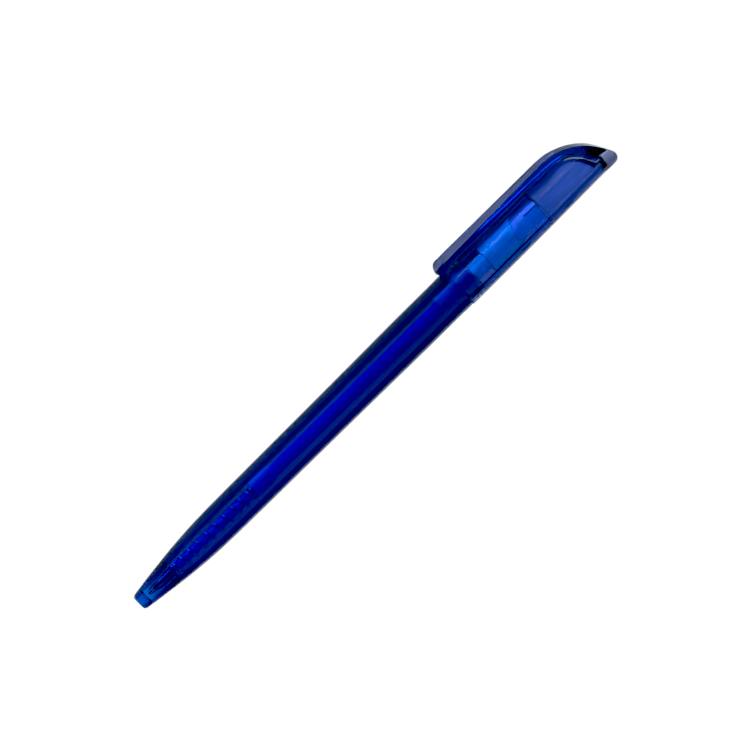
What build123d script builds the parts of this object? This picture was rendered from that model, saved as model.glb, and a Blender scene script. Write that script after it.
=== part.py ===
from build123d import *
import math
import os

# Twist-action retractable pen, lying on its side.
# Every piece is drawn in the pen's own axis frame, in millimetres:
#   X = a, distance along the axis from the nose towards the clip end
#   Y = h, away from the axis towards the pocket clip
#   Z = w, across the clip
# and is then placed in the part's frame, where the nose points to +X, the pen
# rests on Z = 0 and the clip hangs to the -Y side.

# ---------------------------------------------------------------- dimensions
total_length = 141.0        # nose to clip end
cap_r = 4.89                # upper barrel outer radius at its mouth
cap_end_r = 4.60            # and at its closed end
joint_a = 96.2              # joint line between the two barrels
land_r = 4.67               # straight land of the lower barrel
land_start, land_end = 82.0, 93.4
shoulder_r = 4.72           # between the land and the joint line
joint_gap = 0.08            # axial running gap between the two barrels

nose_bore_r = 1.20
nose_bore_len = 2.05
point_bore_r = 1.60
spring_seat_a = 10.2
spring_bore_r = 2.15
barrel_bore_r = 3.30

spigot_r = 3.95
spigot_end = 100.25
bead_r = 4.12
bead_a = 98.5

counterbore_r = 4.00        # upper barrel over the spigot
counterbore_end = 100.3
cap_bore_r = 3.30
cam_seat_end = 120.62
cap_far_bore_r = 3.20
web_half_w = 1.50
cap_bore_end = 137.2

bushing_start, bushing_end = 95.6, 99.9
bushing_bore_r = 2.12
key_width = 0.90
key_tip_r = 1.62

stem_r = 2.05               # plunger stem
stem_start = 90.4
head_start = 104.8
head_r = 3.25
slot_width = 1.00
slot_floor = 1.45
socket_r = 1.51
socket_end = 98.5
cam_core_r = 1.50

stroke = 4.5                # lift of the cam over half a turn
cam_low = 112.3             # lowest point of the cam face at rest
cam_gap = 0.06
driver_r = 2.70
driver_end = 120.6
rib_width = 0.8

tube_r = 1.50
tube_bore_r = 1.05
tube_start, tube_end = 36.0, 98.4
ink_end = 88.0
grease_end = 92.0

holder_start, holder_end = 9.8, 40.0
holder_r = 1.12
collar_r = 2.05
collar_start, collar_end = 34.2, 38.5

point_r = 1.12
ball_r = 0.35
tip_a = 2.9                 # foremost point of the ball at rest
socket_gap = 0.01

spring_mean_r = 1.77
wire_r = 0.18
spring_turns = 9.5

# clip
clip_out_h = 7.18           # free end, rising to 7.42 at the bend
roll_deg = 16.3             # the clip lies this far below horizontal

os.makedirs("parts", exist_ok=True)


# ------------------------------------------------------------------- helpers
def V(a, h):
    return (a, h, 0)


def revolved(points):
    """Solid of revolution about the pen axis from (a, r) points."""
    face = make_face(Polyline(*[V(*p) for p in points], close=True))
    return revolve(face, Axis.X, 360)


def rod(r, a0, a1):
    return revolved([(a0, 0), (a1, 0), (a1, r), (a0, r)])


def ring(r0, r1, a0, a1):
    return revolved([(a0, r0), (a1, r0), (a1, r1), (a0, r1)])


def block(a0, a1, h0, h1, w0, w1):
    return Pos((a0 + a1) / 2, (h0 + h1) / 2, (w0 + w1) / 2) * Box(a1 - a0, h1 - h0, w1 - w0)


# place the pen: nose to +X, clip to -Y and roll_deg below the horizontal
lift = cap_r
FRAME = Location((total_length / 2, 0, 0)) * Rotation(180 + roll_deg, 0, 0) * Rotation(0, 180, 0)


# -------------------------------------------------------------- lower barrel
outer = [
    (0.72, 1.99), (1.84, 2.155), (4.0, 2.47), (6.15, 2.755), (8.31, 3.025),
    (10.47, 3.28), (12.63, 3.515), (14.79, 3.72), (16.95, 3.89), (19.11, 4.025),
    (21.27, 4.12), (24.5, 4.20), (29.0, 4.255), (40.7, 4.34), (58.0, 4.45),
    (70.9, 4.56), (77.0, 4.62), (land_start, land_r),
]
with BuildSketch() as barrel_sk:
    with BuildLine():
        nose_arc = ThreePointArc(V(0.0, 1.52), V(0.19, 1.84), V(*outer[0]))
        Spline(*[V(*p) for p in outer])
        Polyline(
            V(land_start, land_r),
            V(land_end, land_r),
            V(land_end + 0.6, shoulder_r),
            V(joint_a - joint_gap - 0.22, shoulder_r),
            V(joint_a - joint_gap, shoulder_r - 0.22),
            V(joint_a - joint_gap, spigot_r),
            V(bead_a - 0.45, spigot_r),
            V(bead_a - 0.15, bead_r),
            V(bead_a + 0.15, bead_r),
            V(bead_a + 0.75, spigot_r),
            V(spigot_end - 0.25, spigot_r),
            V(spigot_end, spigot_r - 0.25),
            V(spigot_end, barrel_bore_r),
            V(85.0, barrel_bore_r),
            V(60.0, 3.22),
            V(34.0, 3.12),
            V(22.0, 3.00),
            V(16.0, 2.72),
            V(12.0, 2.22),
            V(spring_seat_a, spring_bore_r),
            V(spring_seat_a, point_bore_r),
            V(nose_bore_len + 0.4, point_bore_r),
            V(nose_bore_len, nose_bore_r),
            V(0.15, nose_bore_r),
            V(0.0, nose_bore_r + 0.15),
            V(0.0, 1.52),
        )
    make_face()
lower_barrel = revolve(barrel_sk.sketch, Axis.X, 360)

# -------------------------------------------------------------- upper barrel
# side outline of the whole moulding (a, h): the barrel, its slanted roof, the
# clip that curls over the end, and the solid end block under the clip's root
clip_outer = [
    (97.4, clip_out_h), (112.0, 7.31), (122.0, 7.40), (127.0, 7.43), (129.2, 7.33), (130.3, 7.16),
    (131.4, 6.88), (132.5, 6.48), (133.5, 6.08), (134.6, 5.52), (135.7, 4.84), (136.8, 4.00),
    (137.9, 2.98), (138.8, 1.98), (139.6, 0.90), (140.3, -0.24), (140.8, -1.30),
]
clip_inner = [
    (99.2, 6.06), (104.0, 5.93), (112.0, 5.74), (120.0, 5.58), (127.0, 5.43), (129.3, 5.30),
    (131.3, 4.98), (132.5, 4.62), (133.5, 4.08), (134.6, 3.26), (135.7, 2.26), (136.6, 1.20),
    (137.3, 0.15), (137.4, -0.05),
]
roof = [
    (126.0, 5.2), (128.5, 4.86), (131.0, 4.52), (132.4, 4.17), (133.4, 3.66), (134.15, 3.06),
    (134.85, 2.36), (135.35, 1.62), (135.75, 0.80), (136.3, -0.05),
]
ceiling = [
    (128.0, 3.60), (130.6, 3.56), (131.9, 3.34), (132.9, 2.92), (133.6, 2.38), (134.25, 1.66),
    (134.75, 0.84), (135.15, 0.0), (135.50, -0.90),
]


def swept_side(points_lines, width):
    """Prism across the clip from a closed outline in the a-h plane."""
    return extrude(points_lines, amount=width / 2, both=True)


# barrel tube with its mouth chamfer, cut off by the roof
tube_body = revolved([
    (joint_a, 0), (total_length, 0), (total_length, cap_end_r), (138.0, cap_end_r),
    (126.0, 4.74), (112.0, 4.86), (104.0, cap_r), (joint_a + 0.22, cap_r), (joint_a, cap_r - 0.22),
])
with BuildSketch() as under_roof_sk:
    with BuildLine():
        Polyline(V(95.0, -6.0), V(142.0, -6.0), V(142.0, -0.05), V(136.3, -0.05))
        Spline(*[V(*p) for p in reversed(roof)])
        Polyline(V(126.0, 5.2), V(120.0, 5.2), V(95.0, 5.2), V(95.0, -6.0))
    make_face()
tube_body = tube_body & swept_side(under_roof_sk.sketch, 14)

# clip: side strip, with a rounded free end and a small foot under it
with BuildSketch() as clip_sk:
    with BuildLine():
        ThreePointArc(V(94.75, 5.65), V(95.45, 6.80), V(97.4, clip_out_h))
        Spline(*[V(*p) for p in clip_outer], tangents=((1, 0.01, 0), (0.42, -0.9, 0)))
        ThreePointArc(V(140.8, -1.30), V(140.90, -3.0), V(140.5, -4.0))
        Polyline(V(140.5, -4.0), V(140.5, -4.3), V(137.4, -4.3), V(137.4, -0.05))
        Spline(*[V(*p) for p in reversed(clip_inner)], tangents=((-0.1, 1, 0), (-1, 0.03, 0)))
        Spline(V(99.2, 6.06), V(98.0, 5.90), V(97.0, 5.44), V(96.1, 5.08), V(95.2, 5.14), V(94.75, 5.65))
    make_face()
clip_strip = swept_side(clip_sk.sketch, 14)

half_w = [
    (96.9, 2.78), (99.0, 2.90), (105.0, 2.74), (112.0, 2.50), (120.0, 2.26), (127.0, 2.08),
    (131.0, 1.94), (133.5, 1.93), (135.5, 2.08), (136.8, 2.40), (138.0, 2.92),
    (139.4, 3.68), (141.3, 4.80),
]
with BuildSketch(Plane.XZ) as plan_sk:
    # drawn as (a, -w) on this plane; the outline is symmetric
    with BuildLine():
        ThreePointArc((96.9, -2.78), (94.75, 0), (96.9, 2.78))
        Spline(*[(a, w) for a, w in half_w])
        Line((141.3, 4.80), (141.3, -4.80))
        Spline(*[(a, -w) for a, w in reversed(half_w)])
    make_face()
plan_prism = extrude(plan_sk.sketch, amount=12, both=True)
clip_strip = clip_strip & plan_prism

# end block under the clip's root: lower half of the barrel with a rounded end
with BuildSketch() as end_sk:
    with BuildLine():
        Polyline(V(95.0, -6.0), V(138.7, -6.0), V(138.7, -4.80))
        ThreePointArc(V(138.7, -4.80), V(140.3, -4.20), V(140.93, -3.0))
        ThreePointArc(V(140.93, -3.0), V(141.0, -2.35), V(140.8, -1.30))
        Spline(V(140.8, -1.30), V(140.3, -0.24), V(139.6, 0.90), V(138.8, 1.98))
        Polyline(V(138.8, 1.98), V(138.8, 9.0), V(94.0, 9.0), V(94.0, -6.0), V(95.0, -6.0))
    make_face()
end_trim = swept_side(end_sk.sketch, 14)

# the clip leaves the round of the barrel only above the end block
clip_strip = clip_strip & (block(90, 142, 0.9, 9, -7, 7) + rod(cap_end_r, 130, 142))

# web that ties the clip's root to the roof, narrower than the clip
with BuildSketch() as web_sk:
    with BuildLine():
        Polyline(V(131.6, 5.3), V(133.0, 4.85), V(134.3, 4.0), V(135.5, 2.95), V(136.8, 1.5),
                 V(137.8, 0.2), V(137.8, -0.5), V(135.9, -0.5), V(135.2, 1.0), V(134.5, 2.2),
                 V(133.6, 3.1), V(132.4, 3.75), V(131.6, 4.0), V(131.6, 5.3))
    make_face()
web = swept_side(web_sk.sketch, 2 * web_half_w)
upper_barrel = (tube_body & end_trim) + clip_strip + web

# bore: counterbore for the spigot with a groove for its bead, cam seat, and a
# blind end that follows the roof
bore_cut = revolved([
    (joint_a - 1, 0), (joint_a - 1, counterbore_r + 0.2), (joint_a, counterbore_r + 0.2),
    (joint_a + 0.2, counterbore_r), (bead_a - 0.55, counterbore_r),
    (bead_a - 0.25, bead_r + 0.06), (bead_a + 0.25, bead_r + 0.06),
    (bead_a + 0.85, counterbore_r), (counterbore_end, counterbore_r),
    (counterbore_end, cap_bore_r), (cam_seat_end, cap_bore_r),
    (cam_seat_end, cap_far_bore_r), (cap_bore_end - 0.4, cap_far_bore_r),
    (cap_bore_end, cap_far_bore_r - 0.4), (cap_bore_end, 0),
])
with BuildSketch() as ceiling_sk:
    with BuildLine():
        Polyline(V(94.0, -6.0), V(138.5, -6.0), V(138.5, -0.9), V(135.5, -0.9))
        Spline(*[V(*p) for p in reversed(ceiling[1:])])
        Polyline(V(130.6, 3.56), V(128.0, 3.6), V(128.0, 6.0), V(94.0, 6.0), V(94.0, -6.0))
    make_face()
bore_cut = bore_cut & swept_side(ceiling_sk.sketch, 14)
upper_barrel = upper_barrel - bore_cut

# ------------------------------------------------------------- guide bushing
guide_bushing = ring(bushing_bore_r, barrel_bore_r - 0.01, bushing_start, bushing_end)
guide_bushing = guide_bushing + block(
    bushing_start, bushing_end, -key_width / 2, key_width / 2, key_tip_r, bushing_bore_r + 0.2
)

# ------------------------------------------------------------------ cam pair
# The face is a straight helical ramp that rises over half a turn on both
# sides of its lowest point, which lies on the +w side. Turning one piece
# against the other then lifts it in exact proportion to the angle.
cam_plane = Plane(origin=(cam_low, 0, 0), x_dir=(0, 0, 1), z_dir=(1, 0, 0))


def ramp(lefthand):
    inner = Edge.make_helix(pitch=2 * stroke, height=stroke, radius=0.9, lefthand=lefthand)
    outer_edge = Edge.make_helix(pitch=2 * stroke, height=stroke, radius=4.2, lefthand=lefthand)
    return Face.make_surface_from_curves(inner, outer_edge)


ramps = [ramp(False), ramp(True)]


def swept_ramp(face, start, length):
    moved = cam_plane.location * (Pos(0, 0, start) * face)
    return Solid.extrude(moved, Vector(length, 0, 0))


above = [swept_ramp(f, 0.0, 9.0) for f in ramps]
below = [swept_ramp(f, cam_gap, -9.0) for f in ramps]

cam_follower = ring(cam_core_r, head_r, head_start, cam_low + stroke + 1.0)
for cutter in above:
    cam_follower = cam_follower - cutter
cam_follower = cam_follower + rod(head_r, head_start, head_start + 1.4)
cam_follower = cam_follower + rod(stem_r, stem_start, head_start + 0.5)
cam_follower = cam_follower - rod(socket_r, stem_start - 1, socket_end)
cam_follower = cam_follower - block(
    stem_start - 1, head_start, -slot_width / 2, slot_width / 2, slot_floor, stem_r + 1
)

drive_cam = ring(cam_core_r, driver_r, cam_low - 1.0, driver_end)
for cutter in below:
    drive_cam = drive_cam - cutter
drive_cam = drive_cam + rod(driver_r, driver_end - 1.3, driver_end)
ribs = block(cam_low + stroke + 0.25, driver_end, -rib_width / 2, rib_width / 2, driver_r - 0.3, 4)
rib_set = None
for k in range(4):
    one = Rotation(45 + 90 * k, 0, 0) * ribs
    rib_set = one if rib_set is None else rib_set + one
rib_set = rib_set & rod(cap_bore_r - 0.01, cam_low, driver_end)
drive_cam = drive_cam + rib_set

# -------------------------------------------------------------------- refill
refill_tube = ring(tube_bore_r, tube_r, tube_start, tube_end)

gel_ink = revolved([
    (3.75, 0), (ink_end, 0), (ink_end, tube_bore_r - 0.01), (tube_start + 0.02, tube_bore_r - 0.01),
    (tube_start + 0.02, 0.49), (13.45, 0.49), (13.45, 0.28), (3.75, 0.28),
])
grease_plug = revolved([
    (ink_end + 0.02, 0), (grease_end - 0.3, 0), (grease_end, tube_bore_r - 0.01),
    (ink_end + 0.02, tube_bore_r - 0.01),
])
tip_holder = revolved([
    (holder_start, 0.75), (13.45, 0.75), (13.45, 0.50), (tube_start - 0.02, 0.50),
    (tube_start - 0.02, tube_r + 0.01), (holder_end, tube_r + 0.01), (holder_end, tube_r + 0.12),
    (collar_end, collar_r), (collar_start + 0.2, collar_r), (collar_start, collar_r - 0.2),
    (collar_start, holder_r), (holder_start + 0.15, holder_r), (holder_start, holder_r - 0.15),
])
ball_a = tip_a + ball_r
seat_r = ball_r + socket_gap
lip_a = 3.05
lip_open = math.sqrt(seat_r ** 2 - (ball_a - lip_a) ** 2)
channel_r = 0.29
seat_end = ball_a + math.sqrt(seat_r ** 2 - channel_r ** 2)
with BuildSketch() as point_sk:
    with BuildLine():
        ThreePointArc(V(lip_a, lip_open), V(ball_a, seat_r), V(seat_end, channel_r))
        Polyline(
            V(seat_end, channel_r), V(13.4, channel_r), V(13.4, 0.74), V(9.78, 0.74),
            V(9.78, point_r), V(6.1, point_r), V(5.75, 1.05), V(4.75, 0.80), V(4.6, 0.72),
            V(3.25, 0.47), V(lip_a, 0.39), V(lip_a, lip_open),
        )
    make_face()
writing_point = revolve(point_sk.sketch, Axis.X, 360)
ball = Pos(ball_a, 0, 0) * Sphere(ball_r)

# ------------------------------------------------------------- return spring
# one dead coil at each end, even pitch between them
spring_a0 = spring_seat_a + wire_r + 0.02
spring_a1 = collar_start - wire_r - 0.02
dead = 1.0
turns = spring_turns + 2 * dead
dead_pitch = 2 * wire_r + 0.03


def spring_point(t):
    """Centre of the wire after t turns from the nose end."""
    active = (spring_a1 - spring_a0) - 2 * dead * dead_pitch
    if t <= dead:
        a = t * dead_pitch
    elif t >= turns - dead:
        a = dead * dead_pitch + active + (t - (turns - dead)) * dead_pitch
    else:
        u = (t - dead) / spring_turns
        soft = 0.06
        ease = u - soft * math.sin(2 * math.pi * u) / (2 * math.pi) * 2
        a = dead * dead_pitch + active * ease
    ang = 2 * math.pi * t
    return (spring_a0 + a, spring_mean_r * math.cos(ang), spring_mean_r * math.sin(ang))


steps = int(turns * 14)
path = Spline(*[spring_point(turns * i / steps) for i in range(steps + 1)])
wire_face = Plane(origin=path @ 0, z_dir=path % 0) * Circle(wire_r)
return_spring = sweep(wire_face, path=path, is_frenet=True)

# --------------------------------------------------------------------- write
nodes = {
    "lower_barrel": lower_barrel,
    "guide_bushing": guide_bushing,
    "return_spring": return_spring,
    "upper_barrel": upper_barrel,
    "drive_cam": drive_cam,
    "cam_follower": cam_follower,
    "refill_tube": refill_tube,
    "gel_ink": gel_ink,
    "grease_plug": grease_plug,
    "tip_holder": tip_holder,
    "writing_point": writing_point,
    "ball": ball,
}
placed = {name: FRAME * shape for name, shape in nodes.items()}
boxes = [shape.bounding_box() for shape in placed.values()]
low_z = min(b.min.Z for b in boxes)
mid_y = (min(b.min.Y for b in boxes) + max(b.max.Y for b in boxes)) / 2
mid_x = (min(b.min.X for b in boxes) + max(b.max.X for b in boxes)) / 2
print("axis at x", total_length / 2 - mid_x, "y", -mid_y, "z", -low_z)
for name, shape in placed.items():
    shape = Pos(-mid_x, -mid_y, -low_z) * shape
    solids = shape.solids()
    if len(solids) == 1:
        shape = solids[0]
    shape.label = name
    export_step(shape, "parts/" + name + ".step")
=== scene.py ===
import bpy
import math
import numpy as np
from mathutils import Matrix, Vector


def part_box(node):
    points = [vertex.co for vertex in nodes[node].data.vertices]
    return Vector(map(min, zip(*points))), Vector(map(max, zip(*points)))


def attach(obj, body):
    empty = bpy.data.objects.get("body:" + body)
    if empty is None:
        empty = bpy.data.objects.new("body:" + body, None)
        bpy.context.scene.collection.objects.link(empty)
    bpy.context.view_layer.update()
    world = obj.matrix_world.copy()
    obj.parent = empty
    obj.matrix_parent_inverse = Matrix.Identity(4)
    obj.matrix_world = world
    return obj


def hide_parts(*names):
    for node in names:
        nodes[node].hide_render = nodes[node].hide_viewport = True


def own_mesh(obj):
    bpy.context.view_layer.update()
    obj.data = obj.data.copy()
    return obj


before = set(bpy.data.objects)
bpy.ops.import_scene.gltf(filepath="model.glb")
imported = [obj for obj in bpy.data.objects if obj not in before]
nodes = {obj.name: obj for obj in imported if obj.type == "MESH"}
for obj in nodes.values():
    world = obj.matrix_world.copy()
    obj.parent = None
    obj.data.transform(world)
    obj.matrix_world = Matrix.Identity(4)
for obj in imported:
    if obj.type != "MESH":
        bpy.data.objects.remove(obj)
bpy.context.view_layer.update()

# ------------------------------------------------------------------ the pen's own axes
# a: distance in mm from the nose along the axis, h: away from the axis towards the
# clip, w: across the clip
ROLL = math.radians(16.3)
lo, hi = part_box("refill_tube")
AX_Y, AX_Z = (lo.y + hi.y) / 2, (lo.z + hi.z) / 2
NOSE_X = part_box("lower_barrel")[1].x
C = np.array([0.0, -math.cos(ROLL), -math.sin(ROLL)])
W = np.array([0.0, -math.sin(ROLL), math.cos(ROLL)])


def to_world(a, h, w):
    a, h, w = (np.asarray(x, float) * 1e-3 for x in (a, h, w))
    out = np.zeros(np.broadcast(a, h, w).shape + (3,))
    out[..., 0] = NOSE_X - a
    out[..., 1] = AX_Y + h * C[1] + w * W[1]
    out[..., 2] = AX_Z + h * C[2] + w * W[2]
    return out


def add_mesh(name, verts, faces, sharp_deg=35.0):
    me = bpy.data.meshes.new(name)
    me.from_pydata([tuple(v) for v in verts], [], [tuple(int(i) for i in f) for f in faces])
    me.validate()
    me.polygons.foreach_set("use_smooth", [True] * len(me.polygons))
    if sharp_deg is not None:
        me.set_sharp_from_angle(angle=math.radians(sharp_deg))
    me.update()
    ob = bpy.data.objects.new(name, me)
    bpy.context.scene.collection.objects.link(ob)
    return ob


def hermite(points, step):
    """Smooth curve through (a, r) points, sampled about every step mm."""
    p = np.array(points, float)
    d = np.diff(p[:, 0])
    s = np.diff(p[:, 1]) / d
    m = np.zeros(len(p))
    m[1:-1] = (s[:-1] * d[1:] + s[1:] * d[:-1]) / (d[1:] + d[:-1])
    m[0], m[-1] = s[0], s[-1]
    out = []
    for i in range(len(d)):
        k = max(2, int(round(d[i] / step)))
        t = np.linspace(0, 1, k, endpoint=False)
        a = p[i, 0] + t * d[i]
        r = ((2 * t**3 - 3 * t**2 + 1) * p[i, 1] + (t**3 - 2 * t**2 + t) * d[i] * m[i]
             + (-2 * t**3 + 3 * t**2) * p[i + 1, 1] + (t**3 - t**2) * d[i] * m[i + 1])
        out += list(zip(a, r))
    out.append(tuple(p[-1]))
    return out


def arc(a0, r0, a1, r1, ca, cr, k):
    """Points on the arc from (a0, r0) to (a1, r1) about (ca, cr), ends left out."""
    t0, t1 = math.atan2(r0 - cr, a0 - ca), math.atan2(r1 - cr, a1 - ca)
    while t1 - t0 > math.pi:
        t1 -= 2 * math.pi
    while t1 - t0 < -math.pi:
        t1 += 2 * math.pi
    q = math.hypot(a0 - ca, r0 - cr)
    return [(ca + q * math.cos(t0 + (t1 - t0) * i / k), cr + q * math.sin(t0 + (t1 - t0) * i / k))
            for i in range(1, k)]


def rounded(points, radius=0.08, k=4):
    """Closed (a, r) outline with its corners rounded; a point with a third value keeps
    its own corner radius, 0 leaves it as it is."""
    out = []
    n = len(points)
    for i in range(n):
        p = np.array(points[i][:2], float)
        want = points[i][2] if len(points[i]) > 2 else radius
        p0, p1 = np.array(points[i - 1][:2], float), np.array(points[(i + 1) % n][:2], float)
        u, v = p0 - p, p1 - p
        lu, lv = np.linalg.norm(u), np.linalg.norm(v)
        if want <= 0 or lu < 1e-9 or lv < 1e-9 or p[1] <= 1e-9:
            out.append(tuple(p))
            continue
        u, v = u / lu, v / lv
        ang = math.acos(float(np.clip(u @ v, -1, 1)))
        if ang > math.radians(170):
            out.append(tuple(p))
            continue
        cut = min(want / math.tan(ang / 2), 0.45 * lu, 0.45 * lv)
        q = cut * math.tan(ang / 2)
        mid = (u + v) / np.linalg.norm(u + v)
        centre = p + mid * q / math.sin(ang / 2)
        a0, a1 = p + u * cut, p + v * cut
        out.append(tuple(a0))
        out += arc(a0[0], a0[1], a1[0], a1[1], centre[0], centre[1], k)
        out.append(tuple(a1))
    return out


def lathe(name, outline, segments=96, sharp_deg=50.0):
    """Closed (a, r) outline turned about the pen's axis."""
    pts = [outline[0]]
    for p in outline[1:]:
        if math.hypot(p[0] - pts[-1][0], p[1] - pts[-1][1]) > 1e-4:
            pts.append(p)
    if math.hypot(pts[0][0] - pts[-1][0], pts[0][1] - pts[-1][1]) < 1e-4:
        pts.pop()
    th = np.arange(segments) * 2 * math.pi / segments
    verts, index = [], []
    for a, r in pts:
        if r < 1e-6:
            index.append([len(verts)] * segments)
            verts.append(to_world(a, 0, 0))
        else:
            index.append(list(range(len(verts), len(verts) + segments)))
            verts += list(to_world(np.full(segments, a), r * np.cos(th), r * np.sin(th)))
    faces = []
    n = len(pts)
    for i in range(n):
        j = (i + 1) % n
        if pts[i][1] < 1e-6 and pts[j][1] < 1e-6:
            continue
        for k in range(segments):
            k2 = (k + 1) % segments
            quad = [index[i][k], index[i][k2], index[j][k2], index[j][k]]
            f = []
            for q in quad:
                if q not in f:
                    f.append(q)
            if len(f) > 2:
                faces.append(f)
    ob = add_mesh(name, verts, faces, sharp_deg)
    fix_normals(ob)
    return ob


def fix_normals(ob):
    import bmesh
    bm = bmesh.new()
    bm.from_mesh(ob.data)
    bmesh.ops.recalc_face_normals(bm, faces=bm.faces)
    vol = bm.calc_volume(signed=True)
    if vol < 0:
        bmesh.ops.reverse_faces(bm, faces=bm.faces)
    bm.to_mesh(ob.data)
    bm.free()


# ------------------------------------------------------------------ materials
def new_material(name):
    m = bpy.data.materials.new(name)
    m.use_nodes = True
    nt = m.node_tree
    bsdf = nt.nodes["Principled BSDF"]
    out = nt.nodes["Material Output"]
    return m, nt, bsdf, out


def coords(nt, scale=(1, 1, 1)):
    tc = nt.nodes.new("ShaderNodeTexCoord")
    mp = nt.nodes.new("ShaderNodeMapping")
    mp.inputs["Scale"].default_value = scale
    nt.links.new(tc.outputs["Object"], mp.inputs["Vector"])
    return mp.outputs["Vector"]


def noise(nt, vec, scale, detail=3.0, rough=0.5):
    n = nt.nodes.new("ShaderNodeTexNoise")
    n.inputs["Scale"].default_value = scale
    n.inputs["Detail"].default_value = detail
    n.inputs["Roughness"].default_value = rough
    nt.links.new(vec, n.inputs["Vector"])
    return n.outputs["Fac"]


def ranged(nt, fac, lo_, hi_):
    r = nt.nodes.new("ShaderNodeMapRange")
    r.inputs["From Min"].default_value = 0.3
    r.inputs["From Max"].default_value = 0.7
    r.inputs["To Min"].default_value = lo_
    r.inputs["To Max"].default_value = hi_
    nt.links.new(fac, r.inputs["Value"])
    return r.outputs["Result"]


def bump(nt, fac, strength, distance):
    b = nt.nodes.new("ShaderNodeBump")
    b.inputs["Strength"].default_value = strength
    b.inputs["Distance"].default_value = distance
    nt.links.new(fac, b.inputs["Height"])
    return b.outputs["Normal"]


def tinted_plastic(name, rough_lo, rough_hi, ior, absorb, density, grain, grain_depth, scale, tint):
    """Clear moulded plastic: the colour is in its depth, the finish is on its skin."""
    m, nt, bsdf, out = new_material(name)
    bsdf.inputs["Base Color"].default_value = (1, 1, 1, 1)
    bsdf.inputs["Specular Tint"].default_value = (*tint, 1)
    bsdf.inputs["Transmission Weight"].default_value = 1.0
    bsdf.inputs["IOR"].default_value = ior
    vec = coords(nt)
    smear = noise(nt, vec, scale, 4.0)
    nt.links.new(ranged(nt, smear, rough_lo, rough_hi), bsdf.inputs["Roughness"])
    fine = noise(nt, vec, grain, 2.0, 0.6)
    nt.links.new(bump(nt, fine, 0.35, grain_depth), bsdf.inputs["Normal"])
    vol = nt.nodes.new("ShaderNodeVolumeAbsorption")
    vol.inputs["Color"].default_value = (*absorb, 1)
    vol.inputs["Density"].default_value = density
    nt.links.new(vol.outputs["Volume"], out.inputs["Volume"])
    return m


def sigma_material(name, rough, ior, sigma, grain, depth, scale, tint):
    """sigma: absorption per metre for red, green and blue."""
    density = max(sigma) * 1.02
    colour = tuple(1 - s / density for s in sigma)
    return tinted_plastic(name, rough[0], rough[1], ior, colour, density, grain, depth, scale, tint)


def plastic(name, base, base2, rough, coat=0.0, grain=9000.0, depth=2e-6, sss=0.0):
    m, nt, bsdf, out = new_material(name)
    vec = coords(nt)
    broad = noise(nt, vec, 260.0, 4.0)
    mix = nt.nodes.new("ShaderNodeMix")
    mix.data_type = "RGBA"
    mix.inputs["A"].default_value = (*base, 1)
    mix.inputs["B"].default_value = (*base2, 1)
    nt.links.new(ranged(nt, broad, 0.0, 1.0), mix.inputs["Factor"])
    nt.links.new(mix.outputs["Result"], bsdf.inputs["Base Color"])
    nt.links.new(ranged(nt, noise(nt, vec, 900.0, 3.0), rough[0], rough[1]), bsdf.inputs["Roughness"])
    nt.links.new(bump(nt, noise(nt, vec, grain, 2.0), 0.3, depth), bsdf.inputs["Normal"])
    bsdf.inputs["IOR"].default_value = 1.49
    if coat:
        bsdf.inputs["Coat Weight"].default_value = coat
    return m


def metal(name, base, rough, grain=(300, 8000, 8000)):
    m, nt, bsdf, out = new_material(name)
    bsdf.inputs["Base Color"].default_value = (*base, 1)
    bsdf.inputs["Metallic"].default_value = 1.0
    vec = coords(nt, grain)
    n = noise(nt, vec, 1.0, 3.0)
    nt.links.new(ranged(nt, n, rough[0], rough[1]), bsdf.inputs["Roughness"])
    nt.links.new(bump(nt, n, 0.25, 3e-6), bsdf.inputs["Normal"])
    return m


m_barrel = sigma_material("frosted_blue", (0.14, 0.20), 1.50, (4000.0, 1550.0, 540.0), 2500.0, 6e-7, 400.0,
                          (0.02, 0.03, 0.10))
CAP_SIGMA = (880.0, 740.0, 270.0)
m_cap = sigma_material("clear_blue", (0.02, 0.05), 1.50, CAP_SIGMA, 500.0, 3e-7, 350.0,
                       (0.03, 0.035, 0.07))
nt = m_cap.node_tree
haze_in = nt.nodes.new("ShaderNodeAttribute")
haze_in.attribute_name = "haze"
streaks = noise(nt, coords(nt, (60, 900, 900)), 1.0, 3.0)
veil = nt.nodes.new("ShaderNodeMath")
veil.operation = "MULTIPLY"
nt.links.new(haze_in.outputs["Fac"], veil.inputs[0])
nt.links.new(ranged(nt, streaks, 0.42, 0.68), veil.inputs[1])
clear = nt.nodes.new("ShaderNodeMath")
clear.operation = "SUBTRACT"
clear.inputs[0].default_value = 1.0
nt.links.new(veil.outputs[0], clear.inputs[1])
nt.links.new(clear.outputs[0], nt.nodes["Principled BSDF"].inputs["Transmission Weight"])
m_white = plastic("white_plastic", (0.30, 0.62, 0.98), (0.24, 0.56, 0.94), (0.22, 0.34))
m_cyan = plastic("cyan_plastic", (0.03, 0.80, 0.96), (0.02, 0.72, 0.93), (0.22, 0.34))
m_tube = plastic("refill_clear", (0.16, 0.20, 0.95), (0.13, 0.17, 0.90), (0.25, 0.35))
m_ink = plastic("blue_ink", (0.02, 0.03, 0.80), (0.015, 0.02, 0.70), (0.15, 0.25))
m_grease = plastic("follower_grease", (0.80, 0.84, 0.78), (0.74, 0.78, 0.72), (0.12, 0.2))
m_holder = plastic("holder_plastic", (0.30, 0.34, 0.97), (0.26, 0.30, 0.93), (0.3, 0.42))
m_spring = metal("spring_steel", (0.72, 0.74, 0.78), (0.16, 0.3), (3000, 12000, 12000))
m_point = metal("point_metal", (0.30, 0.31, 0.34), (0.28, 0.40), (9000, 300, 300))
m_ball = metal("ball_metal", (0.55, 0.55, 0.58), (0.08, 0.14), (4000, 4000, 4000))


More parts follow.
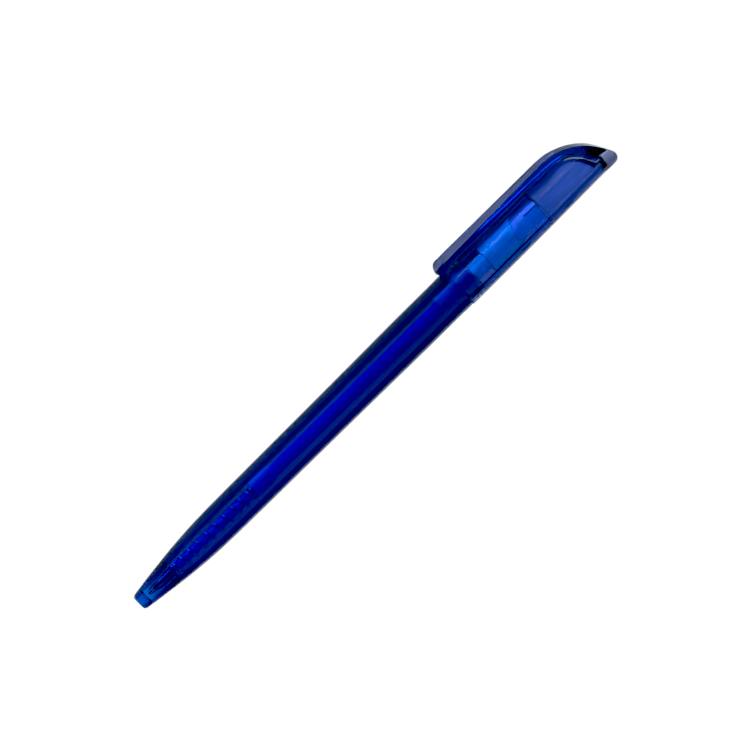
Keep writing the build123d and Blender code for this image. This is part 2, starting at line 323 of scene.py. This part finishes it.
# the closed end of the upper barrel and its roof have a fine moulded grain
m_satin, nt, bsdf, out = new_material("satin_blue")
vec = coords(nt)
mix = nt.nodes.new("ShaderNodeMix")
mix.data_type = "RGBA"
mix.inputs["A"].default_value = (0.42, 0.45, 0.72, 1)
mix.inputs["B"].default_value = (0.34, 0.37, 0.62, 1)
nt.links.new(ranged(nt, noise(nt, vec, 300.0, 4.0), 0.0, 1.0), mix.inputs["Factor"])
nt.links.new(mix.outputs["Result"], bsdf.inputs["Base Color"])
nt.links.new(ranged(nt, noise(nt, vec, 2500.0, 3.0), 0.42, 0.55), bsdf.inputs["Roughness"])
nt.links.new(bump(nt, noise(nt, vec, 9000.0, 2.0), 0.3, 3e-6), bsdf.inputs["Normal"])
bsdf.inputs["IOR"].default_value = 1.35
bsdf.inputs["Specular IOR Level"].default_value = 0.05
bsdf.inputs["Transmission Weight"].default_value = 0.80
vol = nt.nodes.new("ShaderNodeVolumeAbsorption")
satin_density = max(CAP_SIGMA) * 1.02
vol.inputs["Color"].default_value = tuple(1 - s / satin_density for s in CAP_SIGMA) + (1,)
vol.inputs["Density"].default_value = satin_density
nt.links.new(vol.outputs["Volume"], out.inputs["Volume"])


def dress(name, material):
    ob = nodes[name]
    ob.data.materials.clear()
    ob.data.materials.append(material)


for name, material in (
    ("upper_barrel", m_cap), ("guide_bushing", m_white), ("drive_cam", m_white),
    ("cam_follower", m_cyan), ("refill_tube", m_tube), ("gel_ink", m_ink),
    ("grease_plug", m_grease), ("tip_holder", m_holder), ("writing_point", m_point),
    ("ball", m_ball), ("return_spring", m_spring), ("lower_barrel", m_barrel),
):
    dress(name, material)

# ------------------------------------------------------------------ lower barrel
outer = [
    (0.72, 1.99), (1.84, 2.155), (4.0, 2.47), (6.15, 2.755), (8.31, 3.025),
    (10.47, 3.28), (12.63, 3.515), (14.79, 3.72), (16.95, 3.89), (19.11, 4.025),
    (21.27, 4.12), (24.5, 4.20), (29.0, 4.255), (40.7, 4.34), (58.0, 4.45),
    (70.9, 4.56), (77.0, 4.62), (82.0, 4.67),
]
skin = hermite(outer, 0.6)
nose = [(0.0, 1.31)]
for i in range(1, 8):
    t = i / 8
    # quadratic curve round the front edge
    p0, p1, p2 = np.array([0.0, 1.31]), np.array([0.04, 1.80]), np.array([0.72, 1.99])
    q = (1 - t) ** 2 * p0 + 2 * t * (1 - t) * p1 + t * t * p2
    nose.append(tuple(q))
rear = rounded([
    (90.0, 4.67, 0), (93.4, 4.67, 0), (94.0, 4.72, 0.5), (96.12, 4.72, 0.18), (96.12, 3.95, 0.06), (98.05, 3.95, 0.1), (98.35, 4.12, 0.1),
    (98.65, 4.12, 0.1), (99.25, 3.95, 0.1), (100.25, 3.95, 0.2), (100.25, 3.30, 0.08), (85.0, 3.30, 0),
])
bore = rounded([
    (85.0, 3.30, 0), (60.0, 3.22, 0), (34.0, 3.12, 0), (22.0, 3.0, 4), (16.0, 2.72, 3), (12.0, 2.22, 1.0),
    (10.2, 2.15, 0.05), (10.2, 1.60, 0.1), (2.45, 1.60, 0.1), (2.05, 1.20, 0.06), (0.10, 1.20, 0.05),
    (0.0, 1.27, 0.03), (0.0, 1.29, 0),
])
outline = nose + skin + rear[:-1] + bore
barrel = lathe("lower_barrel_skin", outline, 128)
barrel.data.materials.append(m_barrel)
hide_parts("lower_barrel")
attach(barrel, "barrel")

# ------------------------------------------------------------------ upper barrel
# one smooth skin for the moulding: signed distances of its outlines are blended with
# small fillets and the zero surface is meshed
clip_outer = [
    (97.4, 7.18), (112.0, 7.31), (122.0, 7.40), (127.0, 7.43), (129.2, 7.33), (130.3, 7.16),
    (131.4, 6.88), (132.5, 6.48), (133.5, 6.08), (134.6, 5.52), (135.7, 4.84), (136.8, 4.00),
    (137.9, 2.98), (138.8, 1.98), (139.6, 0.90), (140.3, -0.24), (140.8, -1.30),
]
clip_inner = [
    (99.2, 6.06), (104.0, 5.93), (112.0, 5.74), (120.0, 5.58), (127.0, 5.43), (129.3, 5.30),
    (131.3, 4.98), (132.5, 4.62), (133.5, 4.08), (134.6, 3.26), (135.7, 2.26), (136.6, 1.20),
    (137.3, 0.15), (137.4, -0.05),
]
roof = [
    (126.0, 5.2), (128.5, 4.86), (131.0, 4.52), (132.4, 4.17), (133.4, 3.66), (134.15, 3.06),
    (134.85, 2.36), (135.35, 1.62), (135.75, 0.80), (136.3, -0.05),
]
ceiling = [
    (128.0, 3.60), (130.6, 3.56), (131.9, 3.34), (132.9, 2.92), (133.6, 2.38), (134.25, 1.66),
    (134.75, 0.84), (135.15, 0.0), (135.50, -0.90),
]
half_w = [
    (96.9, 2.78), (99.0, 2.90), (105.0, 2.74), (112.0, 2.50), (120.0, 2.26), (127.0, 2.08),
    (131.0, 1.94), (133.5, 1.93), (135.5, 2.08), (136.8, 2.40), (138.0, 2.92),
    (139.4, 3.68), (141.3, 4.80),
]


def curve(points, per=8):
    """Centripetal curve through the points, ends included."""
    p = np.array(points, float)
    p = np.vstack([2 * p[0] - p[1], p, 2 * p[-1] - p[-2]])
    out = []
    for i in range(1, len(p) - 2):
        q = p[i - 1:i + 3]
        t = np.concatenate([[0], np.cumsum(np.sqrt(np.linalg.norm(np.diff(q, axis=0), axis=1)))])
        for x in np.linspace(t[1], t[2], per, endpoint=False):
            a1 = (t[1] - x) / (t[1] - t[0]) * q[0] + (x - t[0]) / (t[1] - t[0]) * q[1]
            a2 = (t[2] - x) / (t[2] - t[1]) * q[1] + (x - t[1]) / (t[2] - t[1]) * q[2]
            a3 = (t[3] - x) / (t[3] - t[2]) * q[2] + (x - t[2]) / (t[3] - t[2]) * q[3]
            b1 = (t[2] - x) / (t[2] - t[0]) * a1 + (x - t[0]) / (t[2] - t[0]) * a2
            b2 = (t[3] - x) / (t[3] - t[1]) * a2 + (x - t[1]) / (t[3] - t[1]) * a3
            out.append(tuple((t[2] - x) / (t[2] - t[1]) * b1 + (x - t[1]) / (t[2] - t[1]) * b2))
    out.append(tuple(p[-2]))
    return out


def three_arc(p, q, r, k=10):
    """Points on the circle from p through q to r."""
    (ax, ay), (bx, by), (cx, cy) = p, q, r
    dd = 2 * (ax * (by - cy) + bx * (cy - ay) + cx * (ay - by))
    ux = ((ax**2 + ay**2) * (by - cy) + (bx**2 + by**2) * (cy - ay) + (cx**2 + cy**2) * (ay - by)) / dd
    uy = ((ax**2 + ay**2) * (cx - bx) + (bx**2 + by**2) * (ax - cx) + (cx**2 + cy**2) * (bx - ax)) / dd
    rad = math.hypot(ax - ux, ay - uy)
    t0, tm, t1 = (math.atan2(y - uy, x - ux) for x, y in (p, q, r))
    tau = 2 * math.pi
    if not (tm - t0) % tau < (t1 - t0) % tau:
        span = -((t0 - t1) % tau)
    else:
        span = (t1 - t0) % tau
    return [(ux + rad * math.cos(t0 + span * i / k), uy + rad * math.sin(t0 + span * i / k)) for i in range(k + 1)]


class Flat:
    """Signed distance to a closed outline in a plane, tabled on a grid."""

    def __init__(self, outline, lo_, hi_, step=0.05):
        self.lo, self.step = np.array(lo_, float), step
        nx = int(math.ceil((hi_[0] - lo_[0]) / step)) + 2
        ny = int(math.ceil((hi_[1] - lo_[1]) / step)) + 2
        x, y = np.meshgrid(self.lo[0] + step * np.arange(nx), self.lo[1] + step * np.arange(ny), indexing="ij")
        best = np.full(x.shape, 1e9)
        inside = np.zeros(x.shape, bool)
        pts = np.array(outline, float)
        for p, q in zip(pts, np.roll(pts, -1, axis=0)):
            e = q - p
            ll = float(e @ e)
            if ll < 1e-12:
                continue
            t = np.clip(((x - p[0]) * e[0] + (y - p[1]) * e[1]) / ll, 0, 1)
            best = np.minimum(best, (x - p[0] - t * e[0]) ** 2 + (y - p[1] - t * e[1]) ** 2)
            if e[1] != 0:
                cross = ((p[1] > y) != (q[1] > y)) & (x < p[0] + (y - p[1]) * e[0] / e[1])
                inside ^= cross
        d = np.sqrt(best)
        self.d = np.where(inside, -d, d)

    def __call__(self, x, y):
        fx = np.clip((x - self.lo[0]) / self.step, 0, self.d.shape[0] - 1.001)
        fy = np.clip((y - self.lo[1]) / self.step, 0, self.d.shape[1] - 1.001)
        i, j = fx.astype(np.int32), fy.astype(np.int32)
        u, v = fx - i, fy - j
        d = self.d
        return (d[i, j] * (1 - u) * (1 - v) + d[i + 1, j] * u * (1 - v)
                + d[i, j + 1] * (1 - u) * v + d[i + 1, j + 1] * u * v)


def smax(p, q, k):
    h = np.maximum(k - np.abs(p - q), 0) / k
    return np.maximum(p, q) + h * h * k / 4


def smin(p, q, k):
    return -smax(-p, -q, k)


A0, A1, H0, H1, W1 = 94.4, 141.4, -5.3, 7.8, 5.3
under_roof = Flat([(90, -9), (146, -9), (146, -0.05), (136.3, -0.05)] + curve(roof[::-1])
                  + [(120, 5.2), (90, 5.2)], (A0, H0), (A1, H1))
end_side = Flat([(90, -9), (138.7, -9)] + three_arc((138.7, -4.80), (140.3, -4.20), (140.93, -3.0))
                + three_arc((140.93, -3.0), (141.0, -2.35), (140.8, -1.30))
                + [(140.3, -0.24), (139.6, 0.90), (138.8, 1.98), (138.8, 12), (90, 12)], (A0, H0), (A1, H1))
clip_side = Flat(three_arc((94.75, 5.65), (95.45, 6.80), (97.4, 7.18)) + curve(clip_outer)
                 + three_arc((140.8, -1.30), (140.90, -3.0), (140.5, -4.0))
                 + [(140.5, -4.3), (137.4, -4.3)] + curve(clip_inner[::-1])
                 + curve([(99.2, 6.06), (98.0, 5.90), (97.0, 5.44), (96.1, 5.08), (95.2, 5.14), (94.75, 5.65)]),
                 (A0, H0), (A1, H1))
edge_w = curve(half_w)
clip_plan = Flat(three_arc((96.9, -2.78), (94.75, 0), (96.9, 2.78), 24) + edge_w
                 + [(a, -w) for a, w in edge_w[::-1]], (A0, -0.1), (A1, W1))
tube_out = Flat([(96.2, -9), (150, -9), (150, 4.60), (138.0, 4.60)]
                + curve([(138.0, 4.60), (126.0, 4.74), (112.0, 4.86), (104.0, 4.89), (96.42, 4.89)])
                + [(96.2, 4.67)], (A0, -0.1), (A1, 9.5))
bore_side = Flat([(80, -9), (96.2, -9), (96.2, 4.12), (96.32, 4.02), (97.85, 4.0), (98.15, 4.16), (98.9, 4.16),
                  (99.25, 4.0), (100.3, 4.0), (100.3, 3.30), (120.62, 3.30), (120.62, 3.20), (136.8, 3.20),
                  (137.2, 2.80), (137.2, -9), (80, -9)][1:-1] + [(96.2, -9)], (A0, -0.1), (A1, 9.5))
ceil_side = Flat([(80, -9), (138.5, -9), (138.5, -0.9)] + curve(ceiling[::-1]) + [(128, 9), (80, 9)],
                 (A0, H0), (A1, H1))

web_side = Flat([(131.6, 5.3), (133.0, 4.85), (134.3, 4.0), (135.5, 2.95), (136.8, 1.5), (137.8, 0.2),
                 (137.8, -0.5), (135.9, -0.5), (135.2, 1.0), (134.5, 2.2), (133.6, 3.1), (132.4, 3.75),
                 (131.6, 4.0)], (A0, H0), (A1, H1))


def cap_distance(p):
    a, h, w = p[..., 0], p[..., 1], np.abs(p[..., 2])
    r = np.hypot(h, w)
    body = smax(smax(tube_out(a, r), under_roof(a, h), 0.22), end_side(a, h), 0.30)
    root = np.minimum(0.9 - h, r - 4.60)
    strip = smax(smax(clip_side(a, h), clip_plan(a, w), 0.26), root, 0.12)
    solid = smin(body, strip, 0.30)
    solid = smin(solid, smax(web_side(a, h), w - 1.50, 0.12), 0.20)
    hole = np.maximum(bore_side(a, r), 96.0 - a)
    hole = np.where(a < 96.4, bore_side(np.maximum(a, 96.4), r), bore_side(a, r))
    hole = smax(hole, ceil_side(a, h), 0.5)
    return smax(solid, -hole, 0.10)


def surface_net(distance, lo_, hi_, step):
    ax = [np.arange(lo_[i], hi_[i] + step, step) for i in range(3)]
    d = np.empty([len(x) for x in ax], np.float32)
    for i, a in enumerate(ax[0]):
        p = np.stack(np.meshgrid([a], ax[1], ax[2], indexing="ij"), -1)
        d[i] = distance(p)[0]
    neg = d < 0
    n0, n1, n2 = d.shape
    total = np.zeros((n0 - 1, n1 - 1, n2 - 1, 3), np.float32)
    count = np.zeros((n0 - 1, n1 - 1, n2 - 1), np.float32)
    quads = []
    crossings = []
    for axis in range(3):
        s0 = [slice(None)] * 3
        s1 = [slice(None)] * 3
        s0[axis], s1[axis] = slice(0, -1), slice(1, None)
        a, b = d[tuple(s0)], d[tuple(s1)]
        idx = np.argwhere((a < 0) != (b < 0))
        va, vb = a[tuple(idx.T)], b[tuple(idx.T)]
        t = va / (va - vb)
        pos = idx.astype(np.float32)
        pos[:, axis] += t
        o1, o2 = [k for k in range(3) if k != axis]
        ok = (idx[:, o1] > 0) & (idx[:, o2] > 0) & (idx[:, o1] < d.shape[o1] - 1) & (idx[:, o2] < d.shape[o2] - 1)
        idx, pos, va = idx[ok], pos[ok], va[ok]
        corners = []
        for da, db in ((0, 0), (-1, 0), (-1, -1), (0, -1)):
            c = idx.copy()
            c[:, o1] += da
            c[:, o2] += db
            corners.append(c)
            np.add.at(total, tuple(c.T), pos)
            np.add.at(count, tuple(c.T), 1)
        flip = (va < 0) ^ (axis == 1)
        crossings.append((corners, flip))
    used = count > 0
    number = np.full(count.shape, -1, np.int64)
    number[used] = np.arange(used.sum())
    verts = total[used] / count[used][:, None]
    verts = verts.astype(float) * step + np.array([x[0] for x in ax])
    faces = []
    for corners, flip in crossings:
        f = np.stack([number[tuple(c.T)] for c in corners], 1)
        f[~flip] = f[~flip][:, ::-1]
        faces.append(f)
    return verts, np.vstack(faces)


def gradient(distance, p, e=0.02):
    g_ = np.empty_like(p)
    for k in range(3):
        off = np.zeros(3)
        off[k] = e
        g_[:, k] = (distance(p + off) - distance(p - off)) / (2 * e)
    return g_


cap_v, cap_f = surface_net(cap_distance, (A0, H0, -W1), (A1, H1, W1), 0.15)
for _ in range(3):
    gr = gradient(cap_distance, cap_v)
    gn = np.maximum((gr * gr).sum(1), 0.25)
    cap_v -= np.clip(cap_distance(cap_v) / gn, -0.08, 0.08)[:, None] * gr
cap_n = gradient(cap_distance, cap_v, 0.04)
cap_n /= np.maximum(np.linalg.norm(cap_n, axis=1), 1e-6)[:, None]
world_n = np.stack([-cap_n[:, 0], cap_n[:, 1] * C[1] + cap_n[:, 2] * W[1], cap_n[:, 1] * C[2] + cap_n[:, 2] * W[2]], 1)


def add_skin(name, verts, faces, normals):
    """Mesh of quads with its exact surface normals."""
    me = bpy.data.meshes.new(name)
    me.vertices.add(len(verts))
    me.vertices.foreach_set("co", np.ascontiguousarray(verts, np.float32).ravel())
    me.loops.add(len(faces) * 4)
    me.loops.foreach_set("vertex_index", np.ascontiguousarray(faces, np.int32).ravel())
    me.polygons.add(len(faces))
    me.polygons.foreach_set("loop_start", np.arange(0, len(faces) * 4, 4, dtype=np.int32))
    me.update(calc_edges=True)
    me.validate()
    me.polygons.foreach_set("use_smooth", [True] * len(me.polygons))
    me.normals_split_custom_set_from_vertices([tuple(float(x) for x in v) for v in normals])
    me.update()
    ob = bpy.data.objects.new(name, me)
    bpy.context.scene.collection.objects.link(ob)
    return ob


cap = add_skin("upper_barrel_skin", to_world(cap_v[:, 0], cap_v[:, 1], cap_v[:, 2]), cap_f, world_n)
cap.data.materials.append(m_cap)
cap.data.materials.append(m_satin)
# the far end of the bore keeps the mould's haze; the rest of it is clear
depth = np.clip((cap_v[:, 0] - 120.75) / 0.5, 0, 1)
on_bore = (np.abs(np.maximum(bore_side(cap_v[:, 0], np.hypot(cap_v[:, 1], cap_v[:, 2])),
                             ceil_side(cap_v[:, 0], cap_v[:, 1]))) < 0.15) & (cap_v[:, 0] > 100)
haze = cap.data.attributes.new("haze", "FLOAT", "POINT")
haze.data.foreach_set("value", (depth * on_bore).astype(np.float32))
mid = cap_v[cap_f].mean(1)
mn = cap_n[cap_f].mean(1)
mr = np.hypot(mid[:, 1], mid[:, 2])
on_roof = ((np.abs(under_roof(mid[:, 0], mid[:, 1])) < 0.10) & (mid[:, 0] > 130.6)
           & (bore_side(mid[:, 0], mr) > -9) & (mn[:, 0] > 0) & (clip_side(mid[:, 0], mid[:, 1]) > -0.05))
on_end = (mid[:, 0] > 138.0) & (mid[:, 1] < 0.5) & (mn[:, 0] > -0.2)
cap.data.polygons.foreach_set("material_index", (on_roof | on_end).astype(np.int32))
cap.data.update()
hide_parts("upper_barrel")
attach(cap, "cap")

# ------------------------------------------------------------------ return spring
turns_active, dead, wire, mean_r = 9.5, 1.0, 0.18, 1.77
a0, a1 = 10.2 + wire + 0.02, 34.2 - wire - 0.02
turns = turns_active + 2 * dead
dead_pitch = 2 * wire + 0.03
active = (a1 - a0) - 2 * dead * dead_pitch
steps = int(turns * 28)
ts = np.linspace(0, turns, steps + 1)
u = np.clip((ts - dead) / turns_active, 0, 1)
ease = u - 0.12 * np.sin(2 * np.pi * u) / (2 * np.pi)
aa = a0 + np.minimum(ts, dead) * dead_pitch + active * ease + np.maximum(ts - (turns - dead), 0) * dead_pitch
ang = 2 * np.pi * ts
centre = np.stack([aa, mean_r * np.cos(ang), mean_r * np.sin(ang)], 1)
tan = np.gradient(centre, axis=0)
tan /= np.linalg.norm(tan, axis=1)[:, None]
rad = np.stack([np.zeros_like(ang), np.cos(ang), np.sin(ang)], 1)
rad -= (rad * tan).sum(1)[:, None] * tan
rad /= np.linalg.norm(rad, axis=1)[:, None]
bi = np.cross(tan, rad)
K = 12
sv, sf = [], []
for i in range(len(ts)):
    for k in range(K):
        q = centre[i] + wire * (math.cos(2 * math.pi * k / K) * rad[i] + math.sin(2 * math.pi * k / K) * bi[i])
        sv.append(to_world(*q))
for i in range(len(ts) - 1):
    for k in range(K):
        k2 = (k + 1) % K
        sf.append((i * K + k, i * K + k2, (i + 1) * K + k2, (i + 1) * K + k))
sf.append(tuple(range(K)))
sf.append(tuple(reversed(range((len(ts) - 1) * K, len(ts) * K))))
spring = add_mesh("return_spring_wire", sv, sf, 60)
fix_normals(spring)
spring.data.materials.append(m_spring)
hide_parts("return_spring")
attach(spring, "barrel")
anchor = to_world(10.2, 0, 0)
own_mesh(spring)

# ------------------------------------------------------------------ stage, light and camera
def stage_floor():
    s = 3.0
    me = bpy.data.meshes.new("floor")
    me.from_pydata([(-s, -s, 0), (s, -s, 0), (s, s, 0), (-s, s, 0)], [], [(0, 1, 2, 3)])
    ob = bpy.data.objects.new("floor", me)
    ob.location.z = -0.00003
    bpy.context.scene.collection.objects.link(ob)
    m, nt, bsdf, out = new_material("floor_white")
    bsdf.inputs["Base Color"].default_value = (0.9, 0.9, 0.9, 1)
    bsdf.inputs["Roughness"].default_value = 0.9
    bsdf.inputs["Specular IOR Level"].default_value = 0.1
    # seen directly the ground is evenly white; what it gives the pen is softer
    glow = nt.nodes.new("ShaderNodeEmission")
    glow.inputs["Strength"].default_value = 1.02
    path = nt.nodes.new("ShaderNodeLightPath")
    mix = nt.nodes.new("ShaderNodeMixShader")
    nt.links.new(path.outputs["Is Camera Ray"], mix.inputs["Fac"])
    nt.links.new(bsdf.outputs["BSDF"], mix.inputs[1])
    nt.links.new(glow.outputs["Emission"], mix.inputs[2])
    nt.links.new(mix.outputs["Shader"], out.inputs["Surface"])
    me.materials.append(m)
    return ob


stage_floor()

world = bpy.data.worlds.new("studio")
bpy.context.scene.world = world
world.use_nodes = True
world.node_tree.nodes["Background"].inputs["Color"].default_value = (1, 1, 1, 1)
world.node_tree.nodes["Background"].inputs["Strength"].default_value = 0.10


def area(name, loc, target, size, power):
    light = bpy.data.lights.new(name, "AREA")
    light.shape = "RECTANGLE"
    light.size, light.size_y = size
    light.energy = power
    ob = bpy.data.objects.new(name, light)
    ob.location = loc
    ob.rotation_euler = (Vector(target) - Vector(loc)).to_track_quat("-Z", "Y").to_euler()
    bpy.context.scene.collection.objects.link(ob)
    return ob


area("softbox_top", (0.05, 0.25, 0.75), (0, 0, 0), (0.8, 0.5), 6.5)
area("softbox_front", (-0.1, -0.75, 0.16), (0, 0, 0), (0.9, 0.22), 16.0)

bpy.context.scene.view_settings.view_transform = "Standard"
bpy.context.scene.view_settings.look = "None"
# the picture's contrast: its darkest tones are pulled down to black
bpy.context.scene.view_settings.use_curve_mapping = True
bpy.context.scene.view_settings.curve_mapping.black_level = (0.032, 0.014, 0.012)
bpy.context.scene.view_settings.curve_mapping.update()
cyc = bpy.context.scene.cycles
cyc.max_bounces = 32
cyc.transmission_bounces = 28
cyc.glossy_bounces = 12
cyc.diffuse_bounces = 6
cyc.transparent_max_bounces = 16
cyc.caustics_refractive = True
cyc.caustics_reflective = True

# the axis is seen 44.5 degrees above the level line, nose end a little nearer
E = math.radians(70.0) - ROLL
tilt = math.radians(4.5)
d = Vector((0, -math.cos(E), math.sin(E))) * math.cos(tilt) + Vector((1, 0, 0)) * math.sin(tilt)
d.normalize()
a_p = Vector((-1, 0, 0))
a_p = (a_p - a_p.dot(d) * d).normalized()
b_p = d.cross(a_p)
g = math.radians(44.68)
right = math.cos(g) * a_p - math.sin(g) * b_p
up = math.sin(g) * a_p + math.cos(g) * b_p
aim = Vector(to_world(70.28, 0, 0)) - b_p * 0.000777
dist = 0.60
cam_data = bpy.data.cameras.new("camera")
cam_data.sensor_width = 36.0
cam_data.lens = 36.0 * dist / 0.1615
cam_data.clip_start = 0.01
cam_data.clip_end = 20.0
cam = bpy.data.objects.new("camera", cam_data)
cam.matrix_world = Matrix((
    (right.x, up.x, d.x, aim.x + d.x * dist),
    (right.y, up.y, d.y, aim.y + d.y * dist),
    (right.z, up.z, d.z, aim.z + d.z * dist),
    (0, 0, 0, 1),
))
bpy.context.scene.collection.objects.link(cam)
bpy.context.scene.camera = cam
